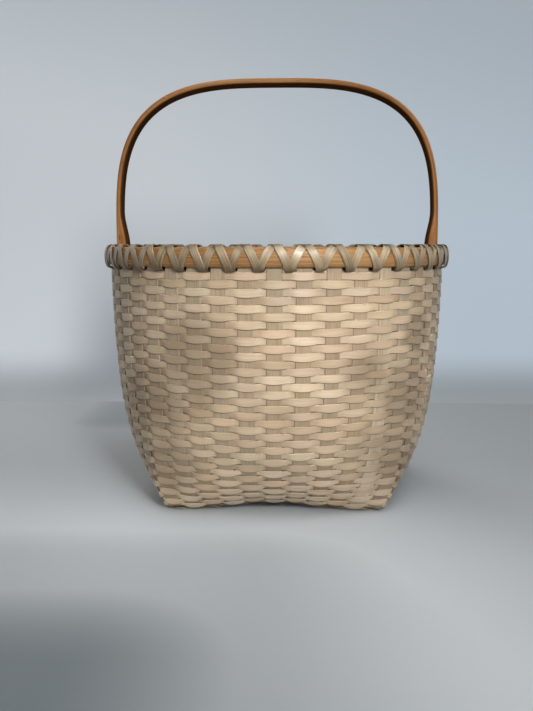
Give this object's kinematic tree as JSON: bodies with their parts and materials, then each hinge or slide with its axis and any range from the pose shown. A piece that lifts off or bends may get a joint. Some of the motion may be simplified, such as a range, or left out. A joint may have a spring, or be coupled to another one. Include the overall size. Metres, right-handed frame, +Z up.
{
  "type": "apple basket",
  "caption": "Splint-woven basket with a square arched base, a round rim of two lashed hoops and one fixed bent handle.",
  "frame": {"origin": "middle of the footprint, on the plane the four base corners stand on", "axes": "+Z up, X from one handle end to the other, -Y towards the camera of the picture"},
  "size_m": [0.326, 0.3266, 0.386],
  "materials": {
    "stake": "bare split wood, dull",
    "weaver": "bare split wood, dull",
    "hoop": "shaved and smoothed wood, satin",
    "lashing": "bare split wood, dull satin"
  },
  "bodies": {
    "root": {"stake_x_1": "stake", "stake_y_1": "stake", "stake_x_2": "stake", "stake_y_2": "stake", "stake_x_3": "stake", "stake_y_3": "stake", "stake_x_4": "stake", "stake_y_4": "stake", "stake_x_5": "stake", "stake_y_5": "stake", "stake_x_6": "stake", "stake_y_6": "stake", "stake_x_7": "stake", "stake_y_7": "stake", "stake_x_8": "stake", "stake_y_8": "stake", "stake_x_9": "stake", "stake_y_9": "stake", "stake_x_10": "stake", "stake_y_10": "stake", "stake_x_11": "stake", "stake_y_11": "stake", "weaver_a_1": "weaver", "weaver_a_2": "weaver", "weaver_a_3": "weaver", "weaver_a_4": "weaver", "weaver_a_5": "weaver", "weaver_a_6": "weaver", "weaver_a_7": "weaver", "weaver_a_8": "weaver", "weaver_a_9": "weaver", "weaver_a_10": "weaver", "weaver_a_11": "weaver", "weaver_b_1": "weaver", "weaver_b_2": "weaver", "weaver_b_3": "weaver", "weaver_b_4": "weaver", "weaver_b_5": "weaver", "weaver_b_6": "weaver", "weaver_b_7": "weaver", "weaver_b_8": "weaver", "weaver_b_9": "weaver", "weaver_b_10": "weaver", "weaver_b_11": "weaver", "rim_outer": "hoop", "rim_inner": "hoop", "handle": "hoop", "lashing_1": "lashing", "lashing_2": "lashing"}
  },
  "joints": []
}
